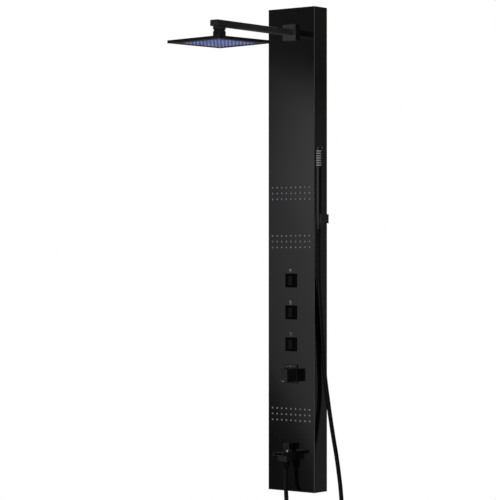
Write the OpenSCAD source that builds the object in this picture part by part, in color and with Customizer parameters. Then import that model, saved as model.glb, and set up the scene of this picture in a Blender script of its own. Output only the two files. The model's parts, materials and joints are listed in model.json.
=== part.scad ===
// Wall-mounted rainfall shower column with a folded metal panel, a square rain head on a
// fixed arm, three groups of body jets, three push controls, a thermostatic handle, a tub
// spout with a diverter, and a hand shower on a hose.
// Frame: +Z up, +X to the right seen from the front, front faces -Y, wall plane at Y = 0,
// origin at the centre of the wall-fixing holes. Heights named "_h" count from the panel's foot.

/* [Panel] */
// Height of the panel
panel_h = 1500; // [1490:5:1600]
// Width of the panel
panel_w = 180; // [176:2:200]
// Depth from the wall to the front face
panel_d = 65; // [64:1:70]
// Thickness of the folded sheet
sheet = 1.5; // [1:0.5:2]
// Radius of the two long front edges
edge_r = 2.5; // [2:0.5:4]

/* [Rain head] */
// Side of the square head
head_w = 220; // [200:5:250]
// Thickness of the head's rim
head_rim = 8.6; // [8:0.2:10]
// Reach of the head's centre in front of the panel
head_reach = 353; // [320:1:380]
// Turn of the head on its ball, seen from above
head_turn = -6.5; // [-10:0.5:10]
// Height of the arm's centre line above the foot
arm_h = 1423; // [1400:1:1430]
// Width of the arm
arm_w = 30; // [26:1:34]
// Thickness of the arm
arm_t = 18; // [16:1:20]
// Nozzles along one side of the head
head_nozzles = 10; // [6:1:11]

/* [Body jets] */
// Nozzles in one row
jet_columns = 9; // [5:2:9]
// Rows in one group
jet_rows = 3; // [2:1:3]
// Distance between neighbouring nozzles
jet_pitch = 18; // [16:1:18]
// Height of the upper group
upper_jets_h = 925; // [915:5:940]
// Height of the middle group
middle_jets_h = 775; // [765:5:785]
// Height of the lower group
lower_jets_h = 238; // [230:2:245]

/* [Controls] */
// Height of the lowest push button
button_h = 456; // [450:2:460]
// Distance between neighbouring push buttons
button_pitch = 99; // [95:1:100]
// Side of a button's square frame
frame_w = 43.5; // [40:0.5:46]
// Width of a button's cap
cap_w = 15; // [12:1:18]
// Height of a button's cap
cap_tall = 28; // [24:1:28]
// Travel of a button
button_travel = 4; // [3:0.5:4]
// Height of the thermostat handle
thermostat_h = 360; // [356:2:364]
// Side of the thermostat handle's square face
handle_w = 40; // [36:1:42]

/* [Spout and hand shower] */
// Height of the middle of the spout's tail
spout_h = 111; // [110:1:112]
// Width of the spout's lip
spout_w = 40; // [36:1:44]
// Reach of the spout in front of the panel
spout_reach = 68; // [64:1:80]
// Diameter of the hose
hose_d = 14; // [12:1:14]
// Diameter of the hand shower's stick
stick_d = 24; // [22:1:24]
// Height of the top of the hand shower
stick_top_h = 1063; // [1040:1:1080]

/* [Hidden] */
$fn = 64;
eps = 0.01;
run_fit = 0.05;
gap = 0.3;
half_w = panel_w / 2;
inner_y = -panel_d + sheet;
foot_z = -panel_h / 2;
pipe_y = -41;
inlet_x = 42;
inlet_y = -33;
inlet_tip = -44;

bracket_offset = 600;
bracket_hole_x = 55;
bracket_hole_r = 3.2;

head_y = -panel_d - head_reach;
ball_h = arm_h - 28;
ball_r = 9.5;
seat_r = 11.7;
socket_r = 12;
nut_w = 28;
dome_r = 18;
cup_low = 9;
head_top_h = arm_h - 51;
head_foot_h = head_top_h - head_rim;
window_w = 160;
head_pitch = 15;

sleeve_w = 24;
sleeve_tall = 32;

handle_gap = 2;
plate_w = 50;
plate_tall = 60;
plate_up = 4;
plate_t = 3;
handle_out = 47;
spindle_r = 5;

outlet_out = 28;
knob_w = 23;
knob_d = 21;
knob_h = 20;
neck_top_h = 129.7;
rod_r = 3;

holder_h = 845;
holder_tall = 28;
stick_x = half_w + 22;
stick_y = -panel_d - 8;
stick_turn = 38;
cone_low_h = 827;
cone_top_h = 860;
cone_low_r = 9.3;
cone_top_r = 10.85;
hose_top_h = 813;
hose_foot_h = 72;
valve_front_y = -55.5;

// The hose's centre line: x, y and height above the foot, from the spout's outlet to the stick.
hose_route = [
    [0, -93, 72], [0, -93, 50], [1, -94, 28], [5, -98, 4], [12, -105, -22], [20, -112, -52],
    [27, -117, -86], [32, -119, -125], [36, -118, -165], [45, -110, -205], [61, -97, -238],
    [84, -79, -258], [110, -59, -259], [134, -40, -240], [150, -28, -209], [158, -21, -171],
    [160, -18, -130], [160, -17, -85], [157, -15, -35], [152, -14, 15], [144, -13, 65],
    [135, -13, 117], [124, -13, 170], [114, -15, 230], [106, -18, 290], [101, -24, 350],
    [99, -31, 420], [98, -38, 490], [98, -45, 560], [99, -53, 630], [103, -62, 700],
    [108, -69, 750], [111, -73, 785], [112, -73, 813]
];
hose_sides = 10;
hose_steps = 2;

function z_at(h) = h + foot_z;
function button_z(i) = z_at(button_h + i * button_pitch);

// A box between two opposite corners.
module span(low, high) {
    translate(low) cube(high - low);
}

// Round bars along each axis, given by where they start and end.
module rod_x(r, x0, x1) {
    translate([x0, 0, 0]) rotate([0, 90, 0]) cylinder(r = r, h = x1 - x0);
}
module rod_y(r, y0, y1) {
    translate([0, y0, 0]) rotate([-90, 0, 0]) cylinder(r = r, h = y1 - y0);
}
module rod_z(r, z0, z1) {
    translate([0, 0, z0]) cylinder(r = r, h = z1 - z0);
}

// A flat rectangle with rounded corners, centred on the origin.
module rounded_rect(w, d, r) {
    square([w - 2 * r, d], center = true);
    square([w, d - 2 * r], center = true);
    for (sx = [-1, 1], sy = [-1, 1])
        translate([sx * (w / 2 - r), sy * (d / 2 - r)]) circle(r = r);
}

// A rounded block that stands on a face looking towards -Y.
module front_block(w, h, r, y0, y1) {
    translate([0, y1, 0]) rotate([90, 0, 0]) linear_extrude(y1 - y0) rounded_rect(w, h, r);
}

// A rounded block with its long axis along Z.
module post(w, d, r, z0, z1) {
    translate([0, 0, z0]) linear_extrude(z1 - z0) rounded_rect(w, d, r);
}

// A bar of radius r from point a to point b, with a ball on its start.
module limb(a, b, r) {
    d = b - a;
    translate(a) {
        rotate([0, acos(d.z / norm(d)), atan2(d.y, d.x)]) cylinder(r = r, h = norm(d));
        sphere(r = r);
    }
}

// A bar that follows square corners from point to point, with flat ends.
module run(points, r) {
    difference() {
        for (i = [0:len(points) - 2]) limb(points[i], points[i + 1], r);
        first = points[0] - points[1];
        translate(points[0]) rotate([0, acos(first.z / norm(first)), atan2(first.y, first.x)])
            cylinder(r = 2 * r, h = 2 * r);
    }
}

// A water pipe: the same run with a bore through it.
module pipe(points, r = 7, wall = 1.5) {
    last = len(points) - 1;
    grow = 2 * r;
    a = points[0] + (points[0] - points[1]) / norm(points[0] - points[1]) * grow;
    b = points[last] + (points[last] - points[last - 1]) / norm(points[last] - points[last - 1]) * grow;
    bore = [a, for (i = [1:1:last - 1]) points[i], b];
    difference() {
        run(points, r);
        run(bore, r - wall);
    }
}

// ---- panel and wall fixing ----

module panel_outline(inset) {
    r = edge_r - inset;
    w = half_w - inset;
    front = -panel_d + inset;
    translate([-w, front + r]) square([2 * w, -front - r]);
    translate([-w + r, front]) square([2 * (w - r), r + eps]);
    for (s = [-1, 1]) translate([s * (w - r), front + r]) circle(r = r);
}

module jet_holes(h, r) {
    for (i = [0:jet_columns - 1], j = [0:jet_rows - 1])
        translate([
            (i - (jet_columns - 1) / 2) * jet_pitch, 0,
            z_at(h) + (j - (jet_rows - 1) / 2) * jet_pitch
        ]) rod_y(r, -panel_d - 2, inner_y + 2);
}

// The foot has a slot at the back where the two supply hoses come up to the inlets.
module panel_shell() {
    flange = 15;
    button_hole_w = sleeve_w + 1;
    button_hole_tall = sleeve_tall + 1;
    hose_slot_w = 116;
    color("#141416") difference() {
        translate([0, 0, foot_z]) linear_extrude(panel_h) panel_outline(0);
        intersection() {
            translate([0, 0, foot_z + sheet]) linear_extrude(panel_h - 2 * sheet) panel_outline(sheet);
            span([-half_w, -panel_d, foot_z], [half_w, -sheet, -foot_z]);
        }
        span([flange - half_w, -2 * sheet, foot_z + sheet], [half_w - flange, 1, -foot_z - sheet]);
        jet_holes(upper_jets_h, 2.6);
        jet_holes(middle_jets_h, 2.6);
        jet_holes(lower_jets_h, 2.6);
        for (i = [0:2]) translate([0, 0, button_z(i)])
            span([-button_hole_w / 2, -panel_d - 1, -button_hole_tall / 2],
                 [button_hole_w / 2, inner_y + 1, button_hole_tall / 2]);
        translate([0, 0, z_at(thermostat_h)]) rod_y(14, -panel_d - 1, inner_y + 1);
        translate([0, 0, z_at(spout_h)]) rod_y(13.3, -panel_d - 1, inner_y + 1);
        translate([0, 0, z_at(arm_h)]) rod_y(10.6, -panel_d - 1, inner_y + 1);
        holder_screw_axes() rod_x(2.2, half_w - 3, half_w + 1);
        span([-hose_slot_w / 2, inlet_y - 15, foot_z - 1], [hose_slot_w / 2, 1, foot_z + sheet + 1]);
    }
}

// Profile of a bracket seen along X: a wall plate that steps forward into an upturned lip.
module bracket_profile() {
    square([3, 40]);
    translate([0, 37]) square([9, 3]);
    translate([6, 37]) square([3, 20]);
}

module wall_bracket(z) {
    length = 140;
    color("#8e9196") difference() {
        translate([-length / 2, 0, z - 20]) rotate([0, 0, -90]) rotate([90, 0, 0])
            mirror([0, 0, 1]) linear_extrude(length) bracket_profile();
        for (s = [-1, 1]) translate([s * bracket_hole_x, 0, z]) rod_y(bracket_hole_r, -4, 1);
    }
}

module upper_wall_bracket() { wall_bracket(bracket_offset); }
module lower_wall_bracket() { wall_bracket(-bracket_offset); }

// Two folded rails inside the panel that hang over the brackets' lips.
module hanger_rails() {
    color("#3a3b3e") for (s = [-1, 1]) translate([0, 0, s * bracket_offset]) {
        span([-half_w + sheet, -12.3, 37.3], [half_w - sheet, -3.3, 40.3]);
        span([-half_w + sheet, -12.3, 14], [half_w - sheet, -9.3, 37.3 + eps]);
    }
}

// ---- water inside the panel ----

module mixer_body() {
    color("#b5924c") translate([0, pipe_y, z_at(thermostat_h)]) difference() {
        union() {
            rod_x(17, -56, 56);
            rod_y(19, -22, 0);
            rod_z(9, 0, 40);
            for (s = [-1, 1]) translate([s * inlet_x, inlet_y - pipe_y, 0]) rod_z(12.5, -22, 0);
        }
        rod_y(15.05, -23, 6);
        rod_x(10, -50, 50);
        rod_z(5.5, 0, 41);
        for (s = [-1, 1]) translate([s * inlet_x, inlet_y - pipe_y, 0]) rod_z(8, -23, 0);
    }
}

module inlet_unions() {
    color("#c9ccd0") for (s = [-1, 1])
        translate([s * inlet_x, inlet_y, z_at(thermostat_h)]) difference() {
            union() {
                rod_z(10.48, inlet_tip, inlet_tip + 14);
                rod_z(13, inlet_tip + 14 - eps, -22);
            }
            rod_z(6.5, inlet_tip - 1, -21);
        }
}

module thermostat_cartridge() {
    color("#d8d4c6") translate([0, pipe_y, z_at(thermostat_h)]) difference() {
        rod_y(15, -22, 5.5);
        rod_y(spindle_r + run_fit, -23, -4);
        rod_x(4, -16, 16);
    }
}

module valve_manifold() {
    low = button_z(0) - 26;
    high = button_z(2) + 26;
    color("#b5924c") difference() {
        union() {
            span([-15, -52, low], [15, -30, high]);
            translate([0, pipe_y, button_z(1)]) rod_x(7, 0, 28);
            translate([0, pipe_y, button_z(0)]) rod_x(7, -28, 0);
        }
        translate([0, pipe_y, 0]) rod_z(6, low - 1, high + 1);
        for (i = [0:2]) translate([0, 0, button_z(i)]) rod_y(10.05, -53, -32);
        translate([0, pipe_y, button_z(1)]) rod_x(5.5, 0, 29);
        translate([0, pipe_y, button_z(0)]) rod_x(5.5, -29, 0);
    }
}

// Three latching valve cartridges, each with a blind bore for its button's stem.
module stop_valves() {
    color("#e3e0d5") for (i = [0:2]) translate([0, 0, button_z(i)]) difference() {
        union() {
            rod_y(10, valve_front_y + 1, -33);
            rod_y(12.5, valve_front_y, -52);
        }
        rod_y(3.4, valve_front_y - 1, -40);
    }
}

module supply_pipe() {
    color("#c7c9c4") pipe([[0, pipe_y, z_at(thermostat_h + 40)], [0, pipe_y, button_z(0) - 26]]);
}

module rain_pipe() {
    color("#c7c9c4") pipe([
        [0, pipe_y, button_z(2) + 26], [0, pipe_y, z_at(arm_h)], [0, -50, z_at(arm_h)]
    ]);
}

// Riser to the three jet boxes with its branches, as one bar of radius r.
module jets_riser(r, more = 0) {
    x = 72;
    low = z_at(lower_jets_h);
    high = z_at(upper_jets_h);
    translate([x, pipe_y, 0]) rod_z(r, low, high);
    for (z = [low, high]) translate([x, pipe_y, z]) sphere(r = r);
    for (z = [low, z_at(middle_jets_h), high]) translate([x, 0, z]) rod_y(r, -49.5 - more, pipe_y);
    translate([0, pipe_y, button_z(1)]) rod_x(r, 28 - more, x);
}

module jets_pipe() {
    color("#c7c9c4") difference() {
        jets_riser(6);
        jets_riser(4.5, 1);
    }
}

// Runs down beside the mixer and crosses behind the supply hoses to the spout's tail.
module spout_pipe() {
    side_x = -72;
    back_y = -14;
    color("#c7c9c4") pipe([
        [-28, pipe_y, button_z(0)], [side_x, pipe_y, button_z(0)], [side_x, pipe_y, z_at(spout_h)],
        [side_x, back_y, z_at(spout_h)], [0, back_y, z_at(spout_h)], [0, -46, z_at(spout_h)]
    ], 6);
}

// ---- body jets ----

// Water box behind one group of jets, with its port on the back.
module jet_box(h) {
    wide = 83;
    tall = 27;
    color("#2b2d30") translate([0, 0, z_at(h)]) difference() {
        span([-wide, inner_y + 2, -tall], [wide, -49.5, tall]);
        span([-wide + 2, inner_y + 4, -tall + 2], [wide - 2, -51.5, tall - 2]);
        translate([72, 0, 0]) rod_y(4.5, -52, -49);
        for (i = [0:jet_columns - 1], j = [0:jet_rows - 1])
            translate([(i - (jet_columns - 1) / 2) * jet_pitch, 0,
                       (j - (jet_rows - 1) / 2) * jet_pitch])
                rod_y(1.6, inner_y + 1, inner_y + 5);
    }
}

module upper_jet_box() { jet_box(upper_jets_h); }
module middle_jet_box() { jet_box(middle_jets_h); }
module lower_jet_box() { jet_box(lower_jets_h); }

// Soft nozzles: a flange behind the panel and a tip that comes through it.
module jet_nozzles(h) {
    tip = 1.6;
    color("#9a9da1") for (i = [0:jet_columns - 1], j = [0:jet_rows - 1])
        translate([
            (i - (jet_columns - 1) / 2) * jet_pitch, 0,
            z_at(h) + (j - (jet_rows - 1) / 2) * jet_pitch
        ]) difference() {
            union() {
                rod_y(4.2, inner_y, inner_y + 2);
                rod_y(2.4, -panel_d - tip, inner_y + eps);
            }
            rod_y(1, -panel_d - tip - 1, inner_y + 3);
        }
}

module upper_jet_nozzles() { jet_nozzles(upper_jets_h); }
module middle_jet_nozzles() { jet_nozzles(middle_jets_h); }
module lower_jet_nozzles() { jet_nozzles(lower_jets_h); }

// ---- rain arm ----

module arm_flange() {
    side = 50;
    color("#242427") translate([0, 0, z_at(arm_h)]) difference() {
        front_block(side, side, 1.5, -panel_d - 11, -panel_d);
        span([-arm_w / 2 - 0.1, -panel_d - 12, -arm_t / 2 - 0.1],
             [arm_w / 2 + 0.1, -panel_d + 1, arm_t / 2 + 0.1]);
    }
}

// Square hollow arm; the block under its end is hollowed out over the swivel nut's dome.
module arm_tube() {
    wall = 2;
    tip_y = head_y - 25;
    ball_z = ball_h - arm_h;
    color("#242427") translate([0, 0, z_at(arm_h)]) difference() {
        union() {
            front_block(arm_w, arm_t, 1.2, tip_y, -panel_d);
            translate([0, head_y, 0]) post(nut_w, nut_w, 1.5, ball_z + cup_low, 1 - arm_t / 2);
            rod_y(10.3, -panel_d, -50);
            rod_y(8, -panel_d - 1, -51);
        }
        translate([0, head_y, ball_z]) sphere(r = dome_r + gap);
        span([-arm_w / 2 + wall, tip_y + wall, -arm_t / 2 + wall],
             [arm_w / 2 - wall, -panel_d - 6, arm_t / 2 - wall]);
        rod_y(6, -panel_d - 7, -49);
        translate([0, head_y, 0]) rod_z(5.05, -arm_t, 0);
    }
}

module arm_locknut() {
    color("#b5924c") translate([0, inner_y, z_at(arm_h)]) difference() {
        rotate([-90, 0, 0]) cylinder(r = 17, h = 8, $fn = 6);
        rod_y(10.35, -1, 9);
    }
}

module at_ball() {
    translate([0, head_y, z_at(ball_h)]) children();
}

module at_head() {
    translate([0, head_y, 0]) rotate([0, 0, head_turn]) children();
}

module ball_stud() {
    color("#8d8f93") at_ball() difference() {
        union() {
            sphere(r = ball_r);
            rod_z(5, 0, 24);
        }
        rod_z(3.2, -12, 25);
    }
}

// A ring between two spheres about the ball's centre, kept between two heights.
module ball_seat(z0, z1) {
    color("#e6e4dc") at_ball() difference() {
        intersection() {
            sphere(r = seat_r);
            rod_z(seat_r + 1, z0, z1);
        }
        sphere(r = ball_r + run_fit);
    }
}

module upper_ball_seat() { ball_seat(1.5, 6); }
module lower_ball_seat() { ball_seat(-6, -1.5); }

// Square nut whose top is a dome about the ball's centre, so that it turns in the arm's cup.
module swivel_nut() {
    shoulder = 3.5;
    bore_low = dome_r / 2;
    color("#1b1b1d") at_ball() difference() {
        intersection() {
            post(nut_w, nut_w, 1.5, -11, dome_r);
            union() {
                sphere(r = dome_r);
                rod_z(nut_w, -12, shoulder);
            }
        }
        sphere(r = socket_r);
        rod_z(8.5, 0, bore_low);
        translate([0, 0, bore_low - eps]) cylinder(r1 = 8.5, r2 = 9.9, h = bore_low + 1);
        rod_z(9, -12, -5);
    }
}

// ---- rain head ----

module head_boss() {
    color("#1b1b1d") translate([0, head_y, 0]) difference() {
        rod_z(12.6, z_at(head_top_h), z_at(ball_h) - 11);
        rod_z(11.25, z_at(head_top_h) + 1.2, z_at(head_top_h) + 10);
        rod_z(6, z_at(head_top_h) - 1, z_at(ball_h));
    }
}

module generator_coil() {
    color("#b3713a") translate([0, head_y, z_at(head_top_h)]) difference() {
        rod_z(11.2, 1.7, 8.8);
        rod_z(9.4, 1, 10);
    }
}

module turbine_wheel() {
    blades = 6;
    color("#dcdcd6") translate([0, head_y, z_at(head_top_h)]) difference() {
        union() {
            rod_z(2.4, 2, 8.6);
            for (i = [0:blades - 1]) rotate([0, 0, i * 360 / blades])
                span([0, -0.5, 2.4], [8.8, 0.5, 8.2]);
        }
        rod_z(0.85, 1, 9);
    }
}

module turbine_pin() {
    color("#8d8f93") translate([0, head_y, z_at(head_top_h)]) {
        rod_z(0.8, 1.2, 9.7);
        span([-11.2, -0.8, 9], [11.2, 0.8, 9.8]);
    }
}

module head_shell() {
    color("#1b1b1d") at_head() difference() {
        post(head_w, head_w, 2, z_at(head_foot_h), z_at(head_top_h));
        post(head_w - 4, head_w - 4, 1, z_at(head_foot_h) - 1, z_at(head_top_h) - 1.6);
        rod_z(6, z_at(head_foot_h), z_at(head_top_h) + 1);
    }
}

// Black border that closes the underside round the lit window.
module head_frame() {
    low = z_at(head_foot_h) + 0.4;
    color("#1b1b1d") at_head() difference() {
        post(head_w - 4.2, head_w - 4.2, 1, low, low + 2);
        span([-window_w / 2, -window_w / 2, low - 1], [window_w / 2, window_w / 2, low + 3]);
        head_screw_axes() rod_z(1.6, low - 1, low + 3);
    }
}

module head_screw_axes() {
    at = head_w / 2 - 10;
    for (sx = [-1, 1], sy = [-1, 1]) translate([sx * at, sy * at, 0]) children();
}

module head_grid() {
    for (i = [0:head_nozzles - 1], j = [0:head_nozzles - 1])
        translate([(i - (head_nozzles - 1) / 2) * head_pitch,
                   (j - (head_nozzles - 1) / 2) * head_pitch, 0]) children();
}

module led_window() {
    low = z_at(head_foot_h) + 0.6;
    color("#a9b8ff") at_head() difference() {
        span([-window_w / 2 + 0.1, -window_w / 2 + 0.1, low],
             [window_w / 2 - 0.1, window_w / 2 - 0.1, low + 2]);
        head_grid() rod_z(2, low - 1, low + 3);
    }
}

module rain_nozzles() {
    low = z_at(head_foot_h) + 0.6;
    color("#c8ccd8") at_head() head_grid() difference() {
        union() {
            rod_z(1.95, low - 2.2, low + 2.5);
            rod_z(3, low + 2, low + 3);
        }
        rod_z(0.8, low - 3, low + 4);
    }
}

module led_board() {
    low = z_at(head_foot_h) + 4.4;
    outer = 148;
    inner = 120;
    lamps = 8;
    color("#f2f2ee") at_head() {
        difference() {
            span([-outer / 2, -outer / 2, low], [outer / 2, outer / 2, low + 1]);
            span([-inner / 2, -inner / 2, low - 1], [inner / 2, inner / 2, low + 2]);
        }
        for (turn = [0:90:270], i = [0:lamps - 1]) rotate([0, 0, turn])
            translate([(i - (lamps - 1) / 2) * 15, (outer + inner) / 4, 0])
                span([-1.7, -1.7, low - 0.7], [1.7, 1.7, low + eps]);
    }
}

module head_screws() {
    low = z_at(head_foot_h) + 0.4;
    color("#3a3b3e") at_head() head_screw_axes() difference() {
        union() {
            rod_z(2.8, low - 1, low);
            rod_z(1.5, low - eps, low + 5);
        }
        translate([0, 0, low - 1.5]) cylinder(r = 1.3, h = 1, $fn = 6);
    }
}

// ---- push controls ----

module button_frame(i) {
    well_w = cap_w + 0.8;
    well_tall = cap_tall + 0.8;
    color("#0c0c0d") translate([0, 0, button_z(i)]) difference() {
        union() {
            front_block(frame_w, frame_w, 1.5, -panel_d - 2, -panel_d);
            front_block(sleeve_w, sleeve_tall, 0.8, -panel_d - eps, -56);
        }
        span([-well_w / 2, -panel_d - 3, -well_tall / 2], [well_w / 2, -55, well_tall / 2]);
    }
}

module rain_button_frame() { button_frame(2); }
module jets_button_frame() { button_frame(1); }
module hand_button_frame() { button_frame(0); }

module push_button(i) {
    out = 5;
    back = valve_front_y - button_travel - 1;
    color("#1d1d20") translate([0, 0, button_z(i)]) {
        front_block(cap_w, cap_tall, 1, -panel_d - out, back);
        rod_y(3.1, back - eps, -48);
    }
}

module rain_button() { push_button(2); }
module jets_button() { push_button(1); }
module hand_button() { push_button(0); }

// ---- thermostat ----

module thermostat_plate() {
    color("#141416") translate([0, 0, z_at(thermostat_h)]) difference() {
        translate([0, 0, plate_up])
            front_block(plate_w, plate_tall, 1.5, -panel_d - plate_t, -panel_d);
        rod_y(13, -panel_d - plate_t - 1, -panel_d + 1);
    }
}

module thermostat_handle() {
    back = -panel_d - plate_t - handle_gap;
    color("#1d1d20") translate([0, 0, z_at(thermostat_h)]) difference() {
        front_block(handle_w, handle_w, 1.5, -panel_d - handle_out, back);
        rod_y(16, back - 8, back + 1);
        rod_y(spindle_r + run_fit, -panel_d - 38, back + 1);
        span([-4.2, -panel_d - 30, 8], [4.2, -panel_d - 18, handle_w / 2 + 1]);
    }
}

module thermostat_spindle() {
    color("#c9b178") translate([0, 0, z_at(thermostat_h)])
        rod_y(spindle_r, -panel_d - 38, pipe_y - 5);
}

// Stop that is pressed to turn the handle past the safe temperature.
module safety_button() {
    color("#26262a") translate([0, 0, z_at(thermostat_h)])
        span([-3.8, -panel_d - 29.6, 11.5], [3.8, -panel_d - 18.4, handle_w / 2 + 1.5]);
}

// ---- spout, diverter and hose outlet ----

module spout_body() {
    lip_top = z_at(125);
    lip_t = 10;
    color("#161618") difference() {
        union() {
            span([-spout_w / 2, -panel_d - spout_reach, lip_top - lip_t],
                 [spout_w / 2, -panel_d, lip_top]);
            span([-17, -panel_d - 46, z_at(97)], [17, -panel_d, lip_top - lip_t + eps]);
            translate([0, 0, z_at(spout_h)]) rod_y(13, -panel_d - eps, -46);
        }
        span([-16, -panel_d - spout_reach - 1, lip_top - 7.5],
             [16, -panel_d - 14, lip_top - 2.5]);
        translate([0, 0, z_at(spout_h)]) rod_y(7, -panel_d - 17, -45);
        translate([0, -panel_d - 17.5, 0]) rod_z(7, z_at(101), z_at(121));
        translate([0, -panel_d - 17.5, 0]) rod_z(rod_r + gap, z_at(120), lip_top + 1);
        translate([0, -panel_d - outlet_out, 0]) rod_z(8, z_at(96), z_at(108));
    }
}

module diverter_neck() {
    color("#9a9da1") translate([0, -panel_d - 17.5, 0]) difference() {
        rod_z(8, z_at(125), z_at(neck_top_h));
        rod_z(rod_r + run_fit, z_at(124), z_at(131));
    }
}

module diverter_knob() {
    low = z_at(neck_top_h) + 0.3;
    color("#242427") translate([0, -panel_d - 17.5, 0]) {
        post(knob_w, knob_d, 1.5, low, low + knob_h);
        rod_z(rod_r, z_at(107), low + eps);
        rod_z(6.4, z_at(107), z_at(110));
    }
}

module spout_locknut() {
    color("#b5924c") translate([0, inner_y, z_at(spout_h)]) difference() {
        rotate([-90, 0, 0]) cylinder(r = 20, h = 7, $fn = 6);
        rod_y(13.05, -1, 8);
    }
}

module hose_outlet() {
    color("#9a9da1") translate([0, -panel_d - outlet_out, 0]) difference() {
        union() {
            rod_z(7.9, z_at(97), z_at(106));
            rod_z(12, z_at(94.5), z_at(97));
            rod_z(10.48, z_at(85), z_at(94.5) + eps);
        }
        rod_z(5, z_at(84), z_at(107));
    }
}

module lower_hose_nut() {
    color("#161618") translate([0, -panel_d - outlet_out, 0]) difference() {
        translate([0, 0, z_at(hose_foot_h)]) cylinder(r1 = 9.2, r2 = 13.2, h = 22);
        rod_z(10.53, z_at(84.5), z_at(95));
        rod_z(5.2, z_at(hose_foot_h) - 1, z_at(90));
    }
}

// ---- hose ----

// A point on the smooth curve between b and c, t from 0 to 1.
function spline(a, b, c, d, t) =
    (2 * b + (c - a) * t + (2 * a - 5 * b + 4 * c - d) * t * t
     + (3 * b - a - 3 * c + d) * t * t * t) / 2;
function route_at(p, i) =
    i < 0 ? 2 * p[0] - p[1] : i >= len(p) ? 2 * p[len(p) - 1] - p[len(p) - 2] : p[i];
function smooth(p, steps) = [
    for (i = [0:len(p) - 2], k = [0:steps - 1])
        spline(route_at(p, i - 1), p[i], p[i + 1], route_at(p, i + 2), k / steps),
    p[len(p) - 1]
];
function unit(v) = v / norm(v);
// Direction of the line at point i; the two ends are square to the fittings.
function heading(c, i) =
    i == 0 ? [0, 0, -1] : i == len(c) - 1 ? [0, 0, 1] : unit(c[i + 1] - c[i - 1]);
// A side direction that is carried along the line, so that the tube doesn't twist.
function carried(c, i, side) = unit(side - (side * heading(c, i)) * heading(c, i));
function sides(c, i = 0, side = [1, 0, 0]) =
    i >= len(c) ? [] : let (s = carried(c, i, side)) concat([s], sides(c, i + 1, s));

module swept_tube(c, r, n) {
    s = sides(c);
    rings = [for (i = [0:len(c) - 1], k = [0:n - 1])
        c[i] + r * (cos(k * 360 / n) * s[i] + sin(k * 360 / n) * cross(heading(c, i), s[i]))];
    walls = [for (i = [0:len(c) - 2], k = [0:n - 1])
        let (a = i * n + k, b = i * n + (k + 1) % n) each [[a, a + n, b], [b, a + n, b + n]]];
    caps = [[for (k = [0:n - 1]) k], [for (k = [n - 1:-1:0]) (len(c) - 1) * n + k]];
    polyhedron(points = rings, faces = concat(walls, caps));
}

module shower_hose() {
    line = [for (p = smooth(hose_route, hose_steps)) [p.x, p.y, z_at(p.z)]];
    color("#101011") swept_tube(line, hose_d / 2, hose_sides);
}

// ---- hand shower and holder ----

module at_stick() {
    translate([stick_x, stick_y, 0]) children();
}

module hose_ferrule() {
    color("#9a9da1") at_stick() difference() {
        union() {
            rod_z(7, z_at(hose_top_h), z_at(hose_top_h) + 21);
            rod_z(7.8, z_at(hose_top_h), z_at(hose_top_h) + 6);
        }
        rod_z(4.2, z_at(hose_top_h) - 1, z_at(hose_top_h) + 22);
    }
}

module cone_nut() {
    color("#161618") at_stick() difference() {
        translate([0, 0, z_at(cone_low_h)])
            cylinder(r1 = cone_low_r, r2 = cone_top_r, h = cone_top_h - cone_low_h);
        rod_z(7 + run_fit, z_at(cone_low_h) - 1, z_at(cone_top_h) - 23);
        rod_z(6, z_at(cone_low_h), z_at(cone_top_h) + 1);
    }
}

// A ring sector on the spray side of the stick, between two radii.
module spray_sector(r0, r1, wide, h0, h1) {
    at_stick() rotate([0, 0, stick_turn]) intersection() {
        difference() {
            rod_z(r1, z_at(h0), z_at(h1));
            rod_z(r0, z_at(h0) - 1, z_at(h1) + 1);
        }
        span([-wide / 2, -stick_d, z_at(h0)], [wide / 2, 0, z_at(h1)]);
    }
}

module handset_body() {
    r = stick_d / 2;
    color("#161618") difference() {
        at_stick() {
            rod_z(r, z_at(cone_top_h), z_at(stick_top_h) - 1);
            translate([0, 0, z_at(stick_top_h) - 1 - eps]) cylinder(r1 = r, r2 = r - 1, h = 1 + eps);
        }
        at_stick() rod_z(8, z_at(cone_top_h) + 4, z_at(stick_top_h) - 5);
        at_stick() rod_z(6, z_at(cone_top_h) - 1, z_at(cone_top_h) + 5);
        spray_sector(7, stick_d, 15.2, stick_top_h - 59, stick_top_h - 6);
    }
}

// Soft insert with seven raised rows of spray holes.
module handset_nozzles() {
    rows = 7;
    row_pitch = 7.2;
    first_h = stick_top_h - 54;
    color("#8f9296") difference() {
        union() {
            spray_sector(9, stick_d / 2 - 0.4, 15, stick_top_h - 58.8, stick_top_h - 6.2);
            for (i = [0:rows - 1])
                spray_sector(9, stick_d / 2 + 0.8, 15,
                             first_h + i * row_pitch - 1.6, first_h + i * row_pitch + 1.6);
        }
        for (i = [0:rows - 1], turn = [-24, 0, 24]) at_stick()
            translate([0, 0, z_at(first_h + i * row_pitch)]) rotate([0, 0, stick_turn + turn])
                rod_y(0.6, -stick_d, -8);
    }
}

module holder_screw_axes() {
    for (y = [-58, -46]) translate([0, y, z_at(holder_h)]) children();
}

// Bracket on the side of the panel, with a tapered seat that is open at the front.
module holder_block() {
    low = z_at(holder_h - holder_tall / 2);
    slope = (cone_top_r - cone_low_r) / (cone_top_h - cone_low_h);
    seat_low_r = cone_low_r + gap + slope * (holder_h - holder_tall / 2 - cone_low_h);
    color("#161618") difference() {
        union() {
            translate([half_w + 22, -panel_d + 6, 0]) post(28, 40, 1.5, low, low + holder_tall);
            span([half_w, -63, low + 3], [half_w + 9, -41, low + holder_tall - 3]);
        }
        at_stick() translate([0, 0, low - 1]) cylinder(
            r1 = seat_low_r - slope, r2 = seat_low_r + slope * (holder_tall + 1), h = holder_tall + 2
        );
        at_stick() span([-7.6, -20, low - 1], [7.6, 0, low + holder_tall + 1]);
        holder_screw_axes() rod_x(1.55, half_w - 1, half_w + 13);
    }
}

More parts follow.
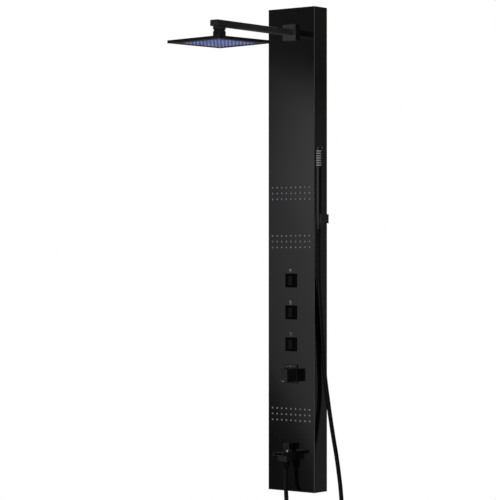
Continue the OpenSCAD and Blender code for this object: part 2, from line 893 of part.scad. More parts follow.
module holder_screws() {
    color("#9a9da1") holder_screw_axes() {
        rod_x(1.5, half_w - sheet - eps, half_w + 12);
        rod_x(3.5, half_w - sheet - 2.2, half_w - sheet);
    }
}

panel_shell();
hanger_rails();
upper_wall_bracket();
lower_wall_bracket();
mixer_body();
inlet_unions();
thermostat_cartridge();
valve_manifold();
stop_valves();
supply_pipe();
rain_pipe();
jets_pipe();
spout_pipe();
upper_jet_box();
middle_jet_box();
lower_jet_box();
upper_jet_nozzles();
middle_jet_nozzles();
lower_jet_nozzles();
arm_flange();
arm_tube();
arm_locknut();
ball_stud();
upper_ball_seat();
lower_ball_seat();
swivel_nut();
head_boss();
generator_coil();
turbine_wheel();
turbine_pin();
head_shell();
head_frame();
led_window();
rain_nozzles();
led_board();
head_screws();
rain_button_frame();
jets_button_frame();
hand_button_frame();
rain_button();
jets_button();
hand_button();
thermostat_plate();
thermostat_handle();
thermostat_spindle();
safety_button();
spout_body();
diverter_neck();
diverter_knob();
spout_locknut();
hose_outlet();
lower_hose_nut();
shower_hose();
hose_ferrule();
cone_nut();
handset_body();
handset_nozzles();
holder_block();
holder_screws();
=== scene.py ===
"""Looks of the wall-mounted rainfall shower column, around its CAD frame. Metres, +Z up, front to -Y."""
import json
import math

import bpy
import numpy as np
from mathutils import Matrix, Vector


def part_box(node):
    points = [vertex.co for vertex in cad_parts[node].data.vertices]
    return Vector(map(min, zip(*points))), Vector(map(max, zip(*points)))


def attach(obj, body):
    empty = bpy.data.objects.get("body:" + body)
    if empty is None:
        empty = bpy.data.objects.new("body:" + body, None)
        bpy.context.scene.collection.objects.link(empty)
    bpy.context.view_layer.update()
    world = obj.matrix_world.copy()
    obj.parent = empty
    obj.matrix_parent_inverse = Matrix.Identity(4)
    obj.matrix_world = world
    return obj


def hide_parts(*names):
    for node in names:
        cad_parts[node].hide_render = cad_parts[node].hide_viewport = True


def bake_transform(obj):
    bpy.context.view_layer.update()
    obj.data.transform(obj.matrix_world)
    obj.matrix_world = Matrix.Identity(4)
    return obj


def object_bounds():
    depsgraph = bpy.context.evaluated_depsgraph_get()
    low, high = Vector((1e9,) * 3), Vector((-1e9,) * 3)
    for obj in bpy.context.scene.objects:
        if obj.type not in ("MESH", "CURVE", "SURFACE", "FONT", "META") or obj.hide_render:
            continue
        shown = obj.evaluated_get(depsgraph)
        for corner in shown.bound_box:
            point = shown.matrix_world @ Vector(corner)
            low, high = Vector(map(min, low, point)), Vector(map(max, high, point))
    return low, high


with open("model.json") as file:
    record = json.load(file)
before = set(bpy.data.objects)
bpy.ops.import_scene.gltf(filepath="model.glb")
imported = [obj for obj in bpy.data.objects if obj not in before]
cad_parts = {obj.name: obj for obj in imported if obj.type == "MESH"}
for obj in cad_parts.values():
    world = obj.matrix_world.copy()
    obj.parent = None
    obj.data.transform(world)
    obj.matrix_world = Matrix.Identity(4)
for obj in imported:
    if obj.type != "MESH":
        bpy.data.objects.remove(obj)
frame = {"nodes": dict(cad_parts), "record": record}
NODES = frame["nodes"]
RECORD = frame["record"]
CAD_LOW, CAD_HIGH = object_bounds()

PANEL_LOW, PANEL_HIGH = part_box("panel_shell")
FOOT_Z = PANEL_LOW.z
FRONT_Y = PANEL_LOW.y
MM = 0.001


def opaque(*rgb):
    """A colour with full alpha."""
    return (*rgb, 1.0)


# ---------------------------------------------------------------- camera

CAMERA_AZIMUTH = 38.4
CAMERA_PLACE = (3.936, -5.247, -0.0012)
CAMERA_LENS = 150.84


def make_camera():
    """A long lens, level with the panel's middle, seeing its front and its right side."""
    data = bpy.data.cameras.new("camera")
    data.lens = CAMERA_LENS
    data.sensor_width = 36.0
    camera = bpy.data.objects.new("camera", data)
    camera.location = CAMERA_PLACE
    camera.rotation_euler = (math.radians(90), 0, math.radians(CAMERA_AZIMUTH))
    bpy.context.scene.collection.objects.link(camera)
    bpy.context.scene.camera = camera


# ---------------------------------------------------------------- mesh helpers


def add_mesh(name, points, faces, material, body=None, smooth=False):
    """A new mesh piece, riding on a body if one is named."""
    mesh = bpy.data.meshes.new(name)
    mesh.from_pydata([tuple(p) for p in points], [], [tuple(int(i) for i in f) for f in faces])
    mesh.validate()
    mesh.update()
    mesh.polygons.foreach_set("use_smooth", [smooth] * len(mesh.polygons))
    mesh.materials.append(material)
    piece = bpy.data.objects.new(name, mesh)
    bpy.context.scene.collection.objects.link(piece)
    if body:
        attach(piece, body)
    return piece


# ---------------------------------------------------------------- shower hose

HOSE_D = 0.014
# The hose's centre line: x, y and height above the panel's foot, from the outlet to the hand shower.
HOSE_ROUTE = [
    (0.000, -0.093, 0.072), (0.000, -0.093, 0.050), (0.001, -0.094, 0.028), (0.005, -0.098, 0.004),
    (0.012, -0.105, -0.022), (0.020, -0.112, -0.052), (0.027, -0.117, -0.086), (0.032, -0.119, -0.125),
    (0.036, -0.118, -0.165), (0.045, -0.110, -0.205), (0.061, -0.097, -0.238), (0.084, -0.079, -0.258),
    (0.110, -0.059, -0.259), (0.134, -0.040, -0.240), (0.150, -0.028, -0.209), (0.158, -0.021, -0.171),
    (0.160, -0.018, -0.130), (0.160, -0.017, -0.085), (0.157, -0.015, -0.035), (0.152, -0.014, 0.015),
    (0.144, -0.013, 0.065), (0.135, -0.013, 0.117), (0.124, -0.013, 0.170), (0.114, -0.015, 0.230),
    (0.106, -0.018, 0.290), (0.101, -0.024, 0.350), (0.099, -0.031, 0.420), (0.098, -0.038, 0.490),
    (0.098, -0.045, 0.560), (0.099, -0.053, 0.630), (0.103, -0.062, 0.700), (0.108, -0.069, 0.750),
    (0.111, -0.073, 0.785), (0.112, -0.073, 0.813),
]
HOSE_CROWN_R = HOSE_D / 2 - 0.00016
HOSE_WINDING = 0.0060
HOSE_RINGS_PER_TURN = 10
HOSE_SIDES = 20
HOSE_GROOVE = 0.0009


def smooth_line(points, steps):
    """A smooth curve through the points, with that many steps between neighbours."""
    p = np.array(points, float)
    p = np.vstack([2 * p[0] - p[1], p, 2 * p[-1] - p[-2]])
    out = []
    for i in range(1, len(p) - 2):
        a, b, c, d = p[i - 1], p[i], p[i + 1], p[i + 2]
        for t in np.arange(steps) / steps:
            out.append((2 * b + (c - a) * t + (2 * a - 5 * b + 4 * c - d) * t**2
                        + (3 * b - a - 3 * c + d) * t**3) / 2)
    out.append(p[-2])
    return np.array(out)


def evenly(line, step):
    """The same curve with points about step apart, and how far along each one is."""
    along = np.concatenate([[0], np.cumsum(np.linalg.norm(np.diff(line, axis=0), axis=1))])
    at = np.linspace(0, along[-1], math.ceil(along[-1] / step) + 1)
    return np.stack([np.interp(at, along, line[:, k]) for k in range(3)], axis=1), at


def carried_frames(line, side):
    """Two directions across the curve at each point, carried along it without twist."""
    ahead = np.gradient(line, axis=0)
    ahead /= np.linalg.norm(ahead, axis=1)[:, None]
    across = np.zeros_like(line)
    for i, t in enumerate(ahead):
        side = side - (side @ t) * t
        side /= np.linalg.norm(side)
        across[i] = side
    return across, np.cross(ahead, across)


def groove_depth(turns):
    """Profile of an interlocked sleeve: a flat crown with a narrow rounded groove, once a turn."""
    phase = turns - np.floor(turns)
    away = np.minimum(phase, 1 - phase)
    return np.clip(1 - away / 0.24, 0, 1) ** 1.3


def make_hose(material):
    """The hose as an interlocked metal sleeve: a tube with one groove that winds round it."""
    route = [(x, y, FOOT_Z + h) for x, y, h in HOSE_ROUTE]
    line, along = evenly(smooth_line(route, 12), HOSE_WINDING / HOSE_RINGS_PER_TURN)
    across, up = carried_frames(line, np.array([1.0, 0.0, 0.0]))
    turn = np.arange(HOSE_SIDES) / HOSE_SIDES
    radius = HOSE_CROWN_R - HOSE_GROOVE * groove_depth(along[:, None] / HOSE_WINDING + turn[None, :])
    radius[[0, -1]] = HOSE_CROWN_R - HOSE_GROOVE
    cos, sin = np.cos(2 * math.pi * turn), np.sin(2 * math.pi * turn)
    rings = line[:, None, :] + radius[:, :, None] * (
        cos[None, :, None] * across[:, None, :] + sin[None, :, None] * up[:, None, :])
    n = HOSE_SIDES
    k = np.arange(n)
    faces = []
    for i in range(len(line) - 1):
        a, b = i * n + k, i * n + (k + 1) % n
        faces.extend(np.stack([a, b, b + n, a + n], axis=1))
    faces.append(list(range(n))[::-1])
    faces.append([(len(line) - 1) * n + j for j in range(n)])
    hose = add_mesh("hose", rings.reshape(-1, 3), faces, material, smooth=True)
    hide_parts("shower_hose")
    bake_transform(hose)


# ---------------------------------------------------------------- materials


class Tree:
    """Short names for building one material's node tree."""

    def __init__(self, name):
        self.material = bpy.data.materials.new(name)
        self.material.use_nodes = True
        self.tree = self.material.node_tree
        self.shader = self.tree.nodes["Principled BSDF"]
        self.place = self.add("ShaderNodeTexCoord").outputs["Object"]

    def add(self, kind, inputs=None, **settings):
        node = self.tree.nodes.new(kind)
        for key, value in settings.items():
            setattr(node, key, value)
        for key, value in (inputs or {}).items():
            if isinstance(value, bpy.types.NodeSocket):
                self.tree.links.new(value, node.inputs[key])
            else:
                node.inputs[key].default_value = value
        return node

    def set(self, **sockets):
        """Fixed values or links on the shader's own sockets; underscores stand for spaces."""
        for key, value in sockets.items():
            socket = self.shader.inputs[key.replace("_", " ")]
            if isinstance(value, bpy.types.NodeSocket):
                self.tree.links.new(value, socket)
            else:
                socket.default_value = value

    def stretched(self, scale):
        """The place on the object with its axes scaled, for grain that runs one way."""
        return self.add("ShaderNodeMapping", {"Vector": self.place, "Scale": scale}).outputs["Vector"]

    def noise(self, scale, detail=3.0, where=None, roughness=0.5):
        return self.add("ShaderNodeTexNoise", {
            "Vector": where or self.place, "Scale": scale, "Detail": detail, "Roughness": roughness,
        }).outputs["Fac"]

    def between(self, value, low, high, start=0.3, end=0.7):
        """value from start to end, mapped to low to high."""
        return self.add("ShaderNodeMapRange", {
            "Value": value, "From Min": start, "From Max": end, "To Min": low, "To Max": high,
        }).outputs["Result"]

    def math(self, operation, a, b=0.0):
        return self.add("ShaderNodeMath", {0: a, 1: b}, operation=operation).outputs[0]

    def mix(self, share, a, b):
        node = self.add("ShaderNodeMix", data_type="RGBA")
        for index, value in ((0, share), (6, a), (7, b)):
            if isinstance(value, bpy.types.NodeSocket):
                self.tree.links.new(value, node.inputs[index])
            else:
                node.inputs[index].default_value = value
        return node.outputs[2]

    def edges(self, radius):
        """0 on flat ground and 1 on an outer or inner edge."""
        bent = self.add("ShaderNodeBevel", {"Radius": radius}, samples=4).outputs["Normal"]
        flat = self.add("ShaderNodeNewGeometry").outputs["Normal"]
        dot = self.add("ShaderNodeVectorMath", {0: bent, 1: flat}, operation="DOT_PRODUCT")
        return self.between(dot.outputs["Value"], 1.0, 0.0, 0.86, 0.995)

    def bump(self, height, strength, distance):
        return self.add("ShaderNodeBump", {
            "Height": height, "Strength": strength, "Distance": distance,
        }).outputs["Normal"]


def surface(name, color, rough, metallic=0.0, tint=0.12, blotch=14.0, grain=900.0, depth=0.00002,
            worn=None, wear_r=0.0007, wear=0.6, along=None, rough_spread=0.25, **sockets):
    """A finish with colour drift, uneven roughness, fine grain and edges that catch the light."""
    t = Tree(name)
    broad = t.noise(blotch, 4.0)
    where = t.stretched(along) if along else None
    fine = t.noise(grain, 3.0, where)
    dark = opaque(*[c * (1 - tint) for c in color])
    light = opaque(*[min(1.0, c * (1 + tint)) for c in color])
    base = t.mix(t.between(broad, 0.0, 1.0), dark, light)
    smear = t.between(broad, rough * (1 - rough_spread), rough * (1 + rough_spread))
    roughness = t.math("ADD", smear, t.between(fine, -0.12 * rough, 0.12 * rough))
    if worn:
        edge = t.math("MULTIPLY", t.edges(wear_r), t.between(t.noise(220.0, 4.0), 0.25 * wear, wear))
        base = t.mix(edge, base, opaque(*worn))
        roughness = t.math("ADD", roughness, t.math("MULTIPLY", edge, 0.12))
    t.set(Base_Color=base, Roughness=roughness, Metallic=metallic,
          Normal=t.bump(fine, 0.35, depth), **sockets)
    return t


FOLD_R = 0.0025


def panel_paint():
    """Baked gloss black on the folded sheet: faint orange peel, and a painted highlight: lighter paint along
    the fold on the hose's side, standing in for the light that fold catches.
    """
    t = surface("panel_paint", (0.0025, 0.0025, 0.0027), 0.11, tint=0.10, blotch=6.0, grain=260.0,
                depth=0.000003, worn=(0.05, 0.05, 0.052), wear_r=0.0006, wear=0.35)
    place = t.add("ShaderNodeSeparateXYZ", {"Vector": t.place}).outputs
    near_side = t.between(place["X"], 0.0, 1.0, PANEL_HIGH.x - FOLD_R, PANEL_HIGH.x - FOLD_R / 4)
    near_front = t.between(place["Y"], 1.0, 0.0, FRONT_Y + FOLD_R / 4, FRONT_Y + FOLD_R)
    # painted highlight: the near upright fold is painted lighter, in place of the light it catches
    fold = t.math("MULTIPLY", t.math("MULTIPLY", near_side, near_front), t.between(t.noise(14.0), 0.55, 1.0))
    paint = t.shader.inputs["Base Color"].links[0].from_socket
    t.set(Base_Color=t.mix(fold, paint, opaque(0.10, 0.10, 0.102)))
    return t.material


def black_coating():
    """Satin black coating on the swivel, the rain head, the handles, the spout and the holder."""
    t = surface("black_coating", (0.009, 0.009, 0.0093), 0.26, tint=0.12, blotch=22.0, grain=700.0,
                depth=0.000008, worn=(0.04, 0.04, 0.041), wear_r=0.0005, wear=0.4)
    return t.material


def lit_arm_coating():
    """The same coating on the arm, painted lighter as painted light, standing in for the light the arm
    catches.
    """
    t = surface("lit_arm_coating", (0.044, 0.044, 0.045), 0.32, tint=0.14, blotch=18.0, grain=700.0,
                depth=0.000008, worn=(0.07, 0.07, 0.072), wear_r=0.0005, wear=0.4)
    return t.material


def satin_metal():
    """Dark brushed metal of the arm's wall flange, with the grain along X."""
    t = surface("satin_metal", (0.20, 0.20, 0.205), 0.34, metallic=1.0, tint=0.12, blotch=30.0, grain=120.0,
                depth=0.00002, worn=(0.32, 0.32, 0.325), wear_r=0.0006, wear=0.6, along=(0.8, 14.0, 14.0))
    return t.material


def gloss_plastic():
    """Gloss black on the hand shower."""
    t = surface("gloss_plastic", (0.004, 0.004, 0.0045), 0.1, tint=0.1, blotch=30.0, grain=500.0,
                depth=0.000005, worn=(0.03, 0.03, 0.032), wear_r=0.0005, wear=0.4)
    return t.material


def matt_plastic():
    """Matt black moulding of the control frames, with a fine spark-eroded grain."""
    t = surface("matt_plastic", (0.0014, 0.0014, 0.0015), 0.6, tint=0.15, blotch=40.0, grain=1400.0,
                depth=0.00003, worn=(0.008, 0.008, 0.0083), wear_r=0.0004, wear=0.4, Specular_IOR_Level=0.06)
    return t.material


def cap_plastic():
    """Satin black moulding of the three button caps, a little paler than their frames."""
    t = surface("cap_plastic", (0.006, 0.006, 0.0063), 0.4, tint=0.15, blotch=60.0, grain=1200.0,
                depth=0.00002, worn=(0.02, 0.02, 0.021), wear_r=0.0004, wear=0.4, Specular_IOR_Level=0.15)
    return t.material


def hose_metal():
    """Black-coated interlocked strip, glossy, with a faint drift in tone."""
    t = surface("hose_metal", (0.0025, 0.0025, 0.0027), 0.16, tint=0.25, blotch=60.0,
                grain=1500.0, depth=0.000006, Specular_IOR_Level=0.13)
    return t.material


def brass():
    """Cast brass with a fine sandy skin and duller patches."""
    t = surface("brass", (0.60, 0.43, 0.18), 0.34, metallic=1.0, tint=0.14, blotch=45.0, grain=1300.0,
                depth=0.00005, worn=(0.80, 0.62, 0.30), wear_r=0.0008, wear=0.7)
    return t.material


def steel():
    """Brushed zinc-plated steel, with the grain along X."""
    t = surface("steel", (0.50, 0.50, 0.52), 0.36, metallic=1.0, tint=0.10, blotch=18.0, grain=90.0,
                depth=0.00003, worn=(0.72, 0.72, 0.74), wear_r=0.0007, wear=0.6, along=(0.6, 14.0, 14.0))
    return t.material


def chrome():
    """Polished plating with faint handling marks."""
    t = surface("chrome", (0.50, 0.51, 0.53), 0.16, metallic=1.0, tint=0.05, blotch=40.0, grain=2200.0,
                depth=0.000006, worn=(0.86, 0.86, 0.88), wear_r=0.0005, wear=0.5)
    return t.material


def pale_plastic():
    """Moulded acetal, a little translucent-looking, with a fine matt skin."""
    t = surface("pale_plastic", (0.76, 0.74, 0.68), 0.42, tint=0.05, blotch=50.0, grain=1700.0,
                depth=0.00002, worn=(0.86, 0.85, 0.80), wear_r=0.0006, wear=0.5)
    return t.material


def pipe_plastic():
    """Extruded tube with faint draw lines along Z."""
    t = surface("pipe_plastic", (0.62, 0.63, 0.62), 0.38, tint=0.06, blotch=25.0, grain=160.0,
                depth=0.00003, worn=(0.75, 0.76, 0.75), wear_r=0.0006, wear=0.4, along=(9.0, 9.0, 0.5))
    return t.material


def dark_plastic():
    """Moulded dark plastic with a spark-eroded texture."""
    t = surface("dark_plastic", (0.035, 0.036, 0.040), 0.5, tint=0.14, blotch=35.0, grain=1100.0,
                depth=0.00006, worn=(0.09, 0.09, 0.10), wear_r=0.0008, wear=0.6)
    return t.material


def silicone():
    """Soft grey silicone with a dusty skin and a faint sheen."""
    t = surface("silicone", (0.36, 0.37, 0.39), 0.55, tint=0.10, blotch=60.0, grain=2600.0,
                depth=0.00002, worn=(0.48, 0.49, 0.51), wear_r=0.0004, wear=0.5,
                Sheen_Weight=0.15, Sheen_Roughness=0.5)
    return t.material


def circuit_board():
    """White solder mask with a fine weave under it."""
    t = surface("circuit_board", (0.80, 0.81, 0.77), 0.35, tint=0.05, blotch=80.0, grain=1500.0,
                depth=0.00003, worn=(0.62, 0.58, 0.40), wear_r=0.0004, wear=0.5)
    return t.material


def copper_winding():
    """Enamelled wire wound in rings."""
    t = surface("copper_winding", (0.58, 0.26, 0.11), 0.28, metallic=1.0, tint=0.15, blotch=70.0,
                grain=1200.0, depth=0.00001)
    rings = t.add("ShaderNodeTexWave", {"Vector": t.place, "Scale": 700.0, "Distortion": 0.6},
                  wave_type="BANDS", bands_direction="Z").outputs["Fac"]
    t.set(Normal=t.bump(rings, 0.8, 0.0001))
    return t.material


def square_turn(name):
    """How far a square node is turned about Z, found from its farthest corner."""
    low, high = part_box(name)
    middle = (low + high) / 2
    corners = [(v.co - middle).xy for v in NODES[name].data.vertices]
    far = max(corners, key=lambda corner: corner.length)
    return math.atan2(far.y, far.x) % (math.pi / 2) - math.pi / 4


NOZZLE_PITCH = 0.015
LIT_DEEP = (0.040, 0.052, 0.30)
LIT_PALE = (0.50, 0.60, 1.0)


def lit_window():
    """Clear acrylic lit from behind: deep violet-blue, paler round each nozzle."""
    low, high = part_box("led_window")
    t = Tree("lit_window")
    local = t.add("ShaderNodeVectorMath", {0: t.place, 1: (low + high) / 2}, operation="SUBTRACT")
    turn = -square_turn("led_window")
    square = t.add("ShaderNodeVectorRotate", {"Vector": local.outputs["Vector"], "Angle": turn},
                   rotation_type="Z_AXIS")
    parts = t.add("ShaderNodeSeparateXYZ", {"Vector": square.outputs["Vector"]})
    turns = [t.math("MULTIPLY", parts.outputs[axis], math.pi / NOZZLE_PITCH) for axis in ("X", "Y")]
    waves = [t.math("ABSOLUTE", t.math("SINE", angle)) for angle in turns]
    spots = t.math("POWER", t.math("MULTIPLY", waves[0], waves[1]), 3.0)
    drift = t.between(t.noise(26.0, 3.0), 0.15, 1.0)
    glow = t.math("ADD", t.math("MULTIPLY", spots, t.math("MULTIPLY", drift, 0.75)),
                  t.math("MULTIPLY", drift, 0.16))
    color = t.mix(glow, opaque(*LIT_DEEP), opaque(*LIT_PALE))
    t.set(Base_Color=opaque(0.02, 0.025, 0.09), Roughness=t.between(t.noise(400.0), 0.07, 0.12),
          Emission_Color=color, Emission_Strength=0.46, Normal=t.bump(t.noise(900.0), 0.2, 0.00001))
    return t.material


def lit_nozzles():
    """Soft clear nozzles of the rain head, which carry the light of the window behind them."""
    t = surface("lit_nozzles", (0.10, 0.11, 0.16), 0.35, tint=0.10, blotch=60.0, grain=2600.0, depth=0.00001)
    share = t.between(t.noise(26.0, 3.0), 0.25, 1.0)
    t.set(Emission_Color=t.mix(share, opaque(*LIT_DEEP), opaque(*LIT_PALE)), Emission_Strength=0.42)
    return t.material


def white_print():
    """White screen print, slightly uneven in its ink."""
    t = surface("white_print", (0.36, 0.365, 0.37), 0.5, tint=0.06, blotch=300.0, grain=4000.0, depth=0.00001)
    return t.material


def spray_insert():
    """The hand shower's soft insert: dark between its seven pale raised rows."""
    low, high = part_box("handset_body")
    axis = (low + high) / 2
    t = surface("spray_insert", (0.36, 0.37, 0.39), 0.5, tint=0.08, blotch=90.0, grain=2200.0, depth=0.00001)
    from_axis = t.add("ShaderNodeVectorMath", {0: t.place, 1: (axis.x, axis.y, 0)},
                      operation="SUBTRACT")
    flat = t.add("ShaderNodeVectorMath", {0: from_axis.outputs["Vector"], 1: (1, 1, 0)}, operation="MULTIPLY")
    radius = t.add("ShaderNodeVectorMath", {0: flat.outputs["Vector"]}, operation="LENGTH").outputs["Value"]
    raised = t.between(radius, 0.0, 1.0, 0.0119, 0.0123)
    pale = t.mix(t.noise(160.0), opaque(0.38, 0.39, 0.41), opaque(0.54, 0.55, 0.57))
    t.set(Base_Color=t.mix(raised, opaque(0.012, 0.012, 0.013), pale))
    return t.material


MATERIALS = {
    "panel": panel_paint, "black_metal": black_coating, "satin_metal": satin_metal,
    "gloss_black": gloss_plastic, "matt_black": matt_plastic,
    "hose_metal": hose_metal, "brass": brass, "steel": steel, "chrome": chrome,
    "pale_plastic": pale_plastic, "pipe_plastic": pipe_plastic, "dark_plastic": dark_plastic,
    "silicone": silicone, "lit_window": lit_window, "circuit_board": circuit_board,
    "copper": copper_winding,
}


def dress_nodes(materials):
    """Each CAD node gets the material of its slot in the record."""
    for part in RECORD["subparts"]:
        slots = NODES[part["node"]].material_slots
        for i in range(len(slots)):
            slots[i].material = materials[part["material_slot"]]
    insert, cap = spray_insert(), cap_plastic()
    special = {"handset_nozzles": insert, "rain_button": cap, "jets_button": cap, "hand_button": cap,
               # the arm gets a lighter copy of the coating, painted light
               "rain_nozzles": lit_nozzles(), "arm_tube": lit_arm_coating()}
    for name, material in special.items():
        for slot in NODES[name].material_slots:
            slot.material = material


# ---------------------------------------------------------------- rounded edges

SEAM_GAP = 0.000005
ROUND_OVER = math.radians(40)
EDGE_ROUNDING = {
    0.0006: ["head_shell", "arm_tube", "arm_flange", "swivel_nut", "spout_body", "holder_block"],
    0.0005: ["diverter_knob", "thermostat_handle", "thermostat_plate"],
    0.0003: ["rain_button_frame", "jets_button_frame", "hand_button_frame", "rain_button",
             "jets_button", "hand_button", "safety_button", "cone_nut", "lower_hose_nut"],
}


def joined_up():
    """A node group that closes a mesh's seams and shades it smoothly, ready for a bevel."""
    group = bpy.data.node_groups.new("joined_up", "GeometryNodeTree")
    group.interface.new_socket("Geometry", in_out="INPUT", socket_type="NodeSocketGeometry")
    group.interface.new_socket("Geometry", in_out="OUTPUT", socket_type="NodeSocketGeometry")
    merge = group.nodes.new("GeometryNodeMergeByDistance")
    merge.inputs["Distance"].default_value = SEAM_GAP
    plain = group.nodes.new("GeometryNodeRemoveAttribute")
    plain.inputs["Name"].default_value = "custom_normal"
    chain = [group.nodes.new("NodeGroupInput"), merge, plain]
    for domain in ("EDGE", "FACE"):
        shade = group.nodes.new("GeometryNodeSetShadeSmooth")
        shade.domain = domain
        chain.append(shade)
    chain.append(group.nodes.new("NodeGroupOutput"))
    for a, b in zip(chain, chain[1:]):
        group.links.new(a.outputs[0], b.inputs[0])
    return group


def round_edges():
    """Small rounds on the edges of the visible machined and moulded nodes."""
    group = joined_up()
    for width, names in EDGE_ROUNDING.items():
        for name in names:
            node = NODES[name]
            node.modifiers.new("joined_up", "NODES").node_group = group
            bevel = node.modifiers.new("round", "BEVEL")
            bevel.width = width
            bevel.segments = 2
            bevel.limit_method = "ANGLE"
            bevel.angle_limit = ROUND_OVER
            weighted = node.modifiers.new("even_shading", "WEIGHTED_NORMAL")
            weighted.weight = 100


# ---------------------------------------------------------------- printed marks

PRINT_T = 0.0002
MARK_RISE = 0.009
MARK_SHIFT = -0.003
TICKS_DROP = 0.0065
POINTER_RISE = 0.0035


def bar(x0, z0, x1, z1):
    """An upright rectangle as an outline, in millimetres."""
    return [(x0, z0), (x1, z0), (x1, z1), (x0, z1)]


def arc(r, start, end, cz=0.0, steps=14):
    """Points along an arc about (0, cz); angles in degrees."""
    angles = [math.radians(start + (end - start) * i / steps) for i in range(steps + 1)]
    return [(r * math.cos(a), cz + r * math.sin(a)) for a in angles]


def shower_icon():
    """A fixed shower head over three streams."""
    streams = [bar(x - 0.6, -5, x + 0.6, -1.4) for x in (-3.2, 0, 3.2)]
    return [arc(4.6, 0, 180), bar(-0.8, 4.4, 0.8, 6.4)] + streams


def jets_icon():
    """Three body jets, one over the other."""
    return [bar(-3, z - 1.3, 3, z + 1.3) for z in (-4.4, 0, 4.4)]


def hand_icon():
    """A hand shower as a hook."""
    return [arc(4.6, -80, 150, 1.5) + arc(3.0, 150, -80, 1.5), bar(-1.6, -5.8, 0.6, -3.6)]


def dial_ticks():
    """Marks over the thermostat handle: a long one for 38 degrees between shorter ones."""
    short = [bar(x - 0.9, -1.2, x + 0.9, 1.6) for x in (-17, -11, 9, 15)]
    return short + [bar(-5.5, -2.2, -2.5, 2.4), bar(-1.5, -2.2, 1.5, 2.4), bar(3, 0.8, 4.6, 2.4)]


def print_marks(name, outlines, place, material, body):
    """Flat printed marks that stand a little proud of a face that looks towards -Y."""
    points, faces = [], []
    for outline in outlines:
        n = len(outline)
        first = len(points)
        for y in (-PRINT_T, PRINT_T):
            points += [(place[0] + x * MM, place[1] + y, place[2] + z * MM) for x, z in outline]
        turning = sum(a[0] * b[1] - b[0] * a[1] for a, b in zip(outline, outline[1:] + outline[:1]))
        front = list(range(first, first + n))
        back = [i + n for i in front]
        rim = [(front[i], back[i], back[(i + 1) % n], front[(i + 1) % n]) for i in range(n)]
        if turning < 0:
            front, rim = front[::-1], [f[::-1] for f in rim]
        else:
            back = back[::-1]
        faces += [front, back] + rim
    add_mesh(name, points, faces, material, body=body)


def make_marks():
    ink = white_print()
    icons = {"rain": shower_icon(), "jets": jets_icon(), "hand": hand_icon()}
    for name, outlines in icons.items():
        low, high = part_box(name + "_button_frame")
        print_marks(name + "_icon", outlines, (MARK_SHIFT, FRONT_Y, high.z + MARK_RISE), ink, "root")
    low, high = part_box("thermostat_plate")
    print_marks("dial_ticks", dial_ticks(), (0, low.y, high.z - TICKS_DROP), ink, "root")
    low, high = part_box("thermostat_handle")
    print_marks("pointer_mark", [bar(-2, -0.8, 8, 0.8)], (0, low.y, low.z + POINTER_RISE), ink, "thermostat")


# ---------------------------------------------------------------- light, floor and world

def area_light(name, place, target, width, height, radiance):
    """A soft panel of light, unseen by the camera. radiance is its brightness."""
    data = bpy.data.lights.new(name, "AREA")
    data.shape = "RECTANGLE"
    data.size, data.size_y = width, height
    data.energy = radiance * math.pi * width * height
    light = bpy.data.objects.new(name, data)
    light.location = place
    aim = Vector(target) - Vector(place)
    light.rotation_euler = aim.to_track_quat("-Z", "Y").to_euler()
    light.visible_camera = False
    bpy.context.scene.collection.objects.link(light)
    return light


def glow_board(name, centre, across, width, height, levels, side_fade=0.0, slant=0.0):
    """An upright board that glows softly: the object reflects it and the camera doesn't see it.

    levels gives (share of the height, radiance) from foot to top. Towards -across it is dimmer by
    side_fade, less so low down and the other way round at the very top, and slant moves the lower
    levels up there, in metres per metre.
    """
    t = Tree(name)
    local = t.add("ShaderNodeSeparateXYZ", {"Vector": t.place})
    left = t.between(local.outputs["X"], 0.5, -0.5, -width / 2, width / 2)
    near_foot = t.between(local.outputs["Z"], 1.0, 0.0, -height / 2, height / 2)
    shift = t.math("MULTIPLY", t.math("MULTIPLY", left, slant * width), near_foot)
    height_at = t.math("SUBTRACT", local.outputs["Z"], shift)
    share = t.between(height_at, 0.0, 1.0, -height / 2, height / 2)
    peak = max(level for _, level in levels)
    ramp = t.add("ShaderNodeValToRGB", {"Fac": share})
    ramp.color_ramp.interpolation = "EASE"
    stops = ramp.color_ramp.elements
    while len(stops) < len(levels):
        stops.new(0.5)
    for stop, (at, level) in zip(stops, levels):
        stop.position = at
        stop.color = opaque(*[level / peak] * 3)
    fade = t.math("MULTIPLY", t.between(share, 0.45 * side_fade, side_fade, 0.35, 0.70),
                  t.between(share, 1.0, -0.5, 0.80, 0.90))
    dimmer = t.math("SUBTRACT", 1.0, t.math("MULTIPLY", fade, t.between(left, 0.0, 1.0, -0.5, 0.5)))
    strength = t.math("MULTIPLY", t.math("MULTIPLY", ramp.outputs["Color"], dimmer), peak)
    t.set(Base_Color=opaque(0, 0, 0), Specular_IOR_Level=0.0, Emission_Color=opaque(1, 1, 1),
          Emission_Strength=strength)
    corners = [(sx * width / 2, 0, sz * height / 2) for sx, sz in ((-1, -1), (1, -1), (1, 1), (-1, 1))]
    board = add_mesh(name, corners, [(0, 1, 2, 3)], t.material)
    board.location = centre
    board.rotation_euler = (0, 0, math.atan2(across[1], across[0]))
    board.visible_camera = False
    board.visible_shadow = False


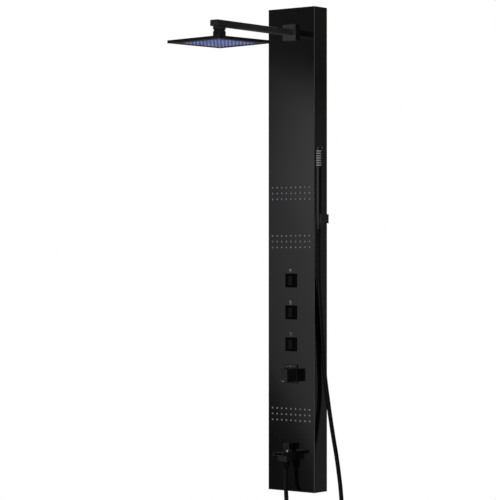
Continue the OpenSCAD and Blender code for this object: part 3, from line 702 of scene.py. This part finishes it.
# Radiance of the key board from foot to top: a soft box with soft ends over a dim wall.
KEY_LEVELS = [(0.09, 0.09), (0.14, 0.17), (0.21, 0.66), (0.33, 0.72), (0.50, 0.95), (0.68, 1.42),
              (0.76, 1.36), (0.88, 0.115)]
SIDE_LEVELS = [(0.0, 0.19), (0.45, 0.17), (0.72, 0.15), (0.84, 0.09), (1.0, 0.13)]


def make_lights():
    glow_board("key_board", (-1.50, -2.07, 0.0), (1, 0), 0.60, 2.2, KEY_LEVELS, 0.92, 1.6)
    glow_board("side_board", (1.57, 1.95, 0.0), (0.8, -0.6), 1.4, 2.2, SIDE_LEVELS)
    area_light("front_strip", (0.75, -3.0, 0.0), (0.1, -0.065, 0.0), 1.3, 2.8, 1.6)
    area_light("overhead", (0, -0.6, 2.2), (0, -0.3, 0), 1.6, 1.6, 1.6)
    area_light("back_high", (-1.0, 2.3, 1.9), (0, 0, 0), 1.6, 1.2, 3.0)


def make_world():
    """White behind the object, and a dim even room for it to reflect."""
    world = bpy.data.worlds.new("studio")
    bpy.context.scene.world = world
    world.use_nodes = True
    tree = world.node_tree
    seen = tree.nodes.new("ShaderNodeLightPath").outputs["Is Camera Ray"]
    strength = tree.nodes.new("ShaderNodeMapRange")
    strength.inputs["To Min"].default_value = 0.07
    strength.inputs["To Max"].default_value = 1.0
    tree.links.new(seen, strength.inputs["Value"])
    back = tree.nodes["Background"]
    back.inputs["Color"].default_value = (1, 1, 1, 1)
    tree.links.new(strength.outputs["Result"], back.inputs["Strength"])


FLOOR_DROP = 0.30


def make_floor():
    """A plain pale round floor under the hanging object."""
    t = Tree("floor_paint")
    t.set(Base_Color=opaque(0.80, 0.80, 0.80), Roughness=t.between(t.noise(3.0), 0.6, 0.75),
          Emission_Color=opaque(1, 1, 1), Emission_Strength=0.62)
    sides, radius = 96, 2.6
    z = CAD_LOW.z - FLOOR_DROP
    rim = [(radius * math.cos(2 * math.pi * i / sides), radius * math.sin(2 * math.pi * i / sides), z)
           for i in range(sides)]
    floor = add_mesh("floor", rim, [range(sides)], t.material)


# ---------------------------------------------------------------- build

make_camera()
materials = {slot: make() for slot, make in MATERIALS.items()}
dress_nodes(materials)
make_hose(materials["hose_metal"])
round_edges()
make_marks()
make_world()
make_lights()
make_floor()

view = bpy.context.scene.view_settings
view.view_transform = "Standard"
view.look = "None"
